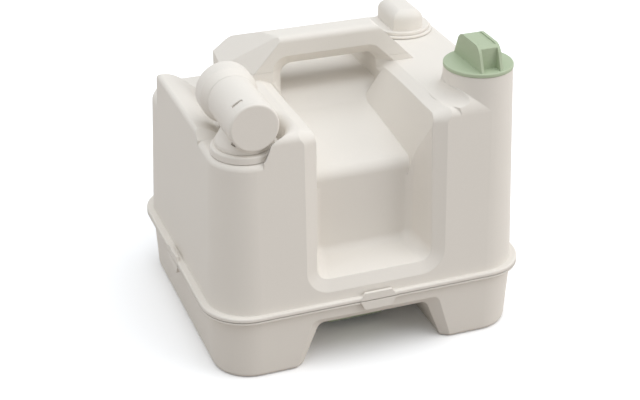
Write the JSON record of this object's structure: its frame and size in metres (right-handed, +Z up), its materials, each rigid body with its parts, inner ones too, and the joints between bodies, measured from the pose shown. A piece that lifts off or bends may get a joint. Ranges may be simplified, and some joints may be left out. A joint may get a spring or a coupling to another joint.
{
  "type": "urine-diverting toilet holding tank",
  "caption": "Holding tank of a urine-diverting toilet: seamed plastic shell with hand recess, carry handle, swivel pour spout and bayonet caps.",
  "frame": {"origin": "middle of the footprint, on the floor", "axes": "+Z up, +X to the right seen from the front, +Y to the back; the hand recess faces -Y"},
  "size_m": [0.3412, 0.2978, 0.3108],
  "materials": {
    "shell": "fine matt moulded texture",
    "green": "matt moulded",
    "seal": "matt",
    "steel": "plain"
  },
  "bodies": {
    "tank": {"upper_shell": "shell", "lower_shell": "shell", "seam_gasket": "seal", "under_tray": "green", "carry_handle": "shell", "handle_screws": "steel", "spout_collar": "shell", "spout_collar_gasket": "seal", "spout_retainer": "shell", "filler_insert": "shell", "inlet_collar": "shell", "inlet_collar_gasket": "seal"},
    "spout": {"spout_elbow": "shell", "spout_end_plug": "shell", "spout_plug_seal": "seal", "spout_neck_seal": "seal"},
    "spout_liner": {"spout_cap_seal": "seal"},
    "spout_closure": {"spout_cap": "shell"},
    "filler_ring": {"filler_cap_seal": "seal"},
    "filler_closure": {"filler_cap": "green"},
    "inlet_ring": {"inlet_cap_seal": "seal"},
    "inlet_closure": {"inlet_cap": "shell"}
  },
  "joints": [
    {"name": "spout_swivel", "type": "hinge", "parent": "tank", "child": "spout", "pos_m": [-0.1199, -0.1005, 0.24], "axis": [0, 0, 1], "range_deg": [0, 180]},
    {"name": "spout_cap_lift", "type": "slide", "parent": "spout", "child": "spout_liner", "axis": [0, 1, 0], "range_m": [0, 0.0061]},
    {"name": "spout_cap_turn", "type": "hinge", "parent": "spout_liner", "child": "spout_closure", "pos_m": [-0.1199, -0.045, 0.2685], "axis": [0, 1, 0], "range_deg": [0, 90]},
    {"name": "filler_cap_lift", "type": "slide", "parent": "tank", "child": "filler_ring", "axis": [0, 0, 1], "range_m": [0, 0.0061]},
    {"name": "filler_cap_turn", "type": "hinge", "parent": "filler_ring", "child": "filler_closure", "pos_m": [0.1199, -0.1005, 0.283], "axis": [0, 0, 1], "range_deg": [0, 90]},
    {"name": "inlet_cap_lift", "type": "slide", "parent": "tank", "child": "inlet_ring", "axis": [0, 0, 1], "range_m": [0, 0.0061]},
    {"name": "inlet_cap_turn", "type": "hinge", "parent": "inlet_ring", "child": "inlet_closure", "pos_m": [0.114, 0.0785, 0.26], "axis": [0, 0, 1], "range_deg": [0, 90]}
  ],
  "couplings": [
    {"joint": "spout_cap_lift", "follows": "spout_cap_turn", "m_per_rad": 0.0038197},
    {"joint": "filler_cap_lift", "follows": "filler_cap_turn", "m_per_rad": 0.0038197},
    {"joint": "inlet_cap_lift", "follows": "inlet_cap_turn", "m_per_rad": 0.0038197}
  ]
}
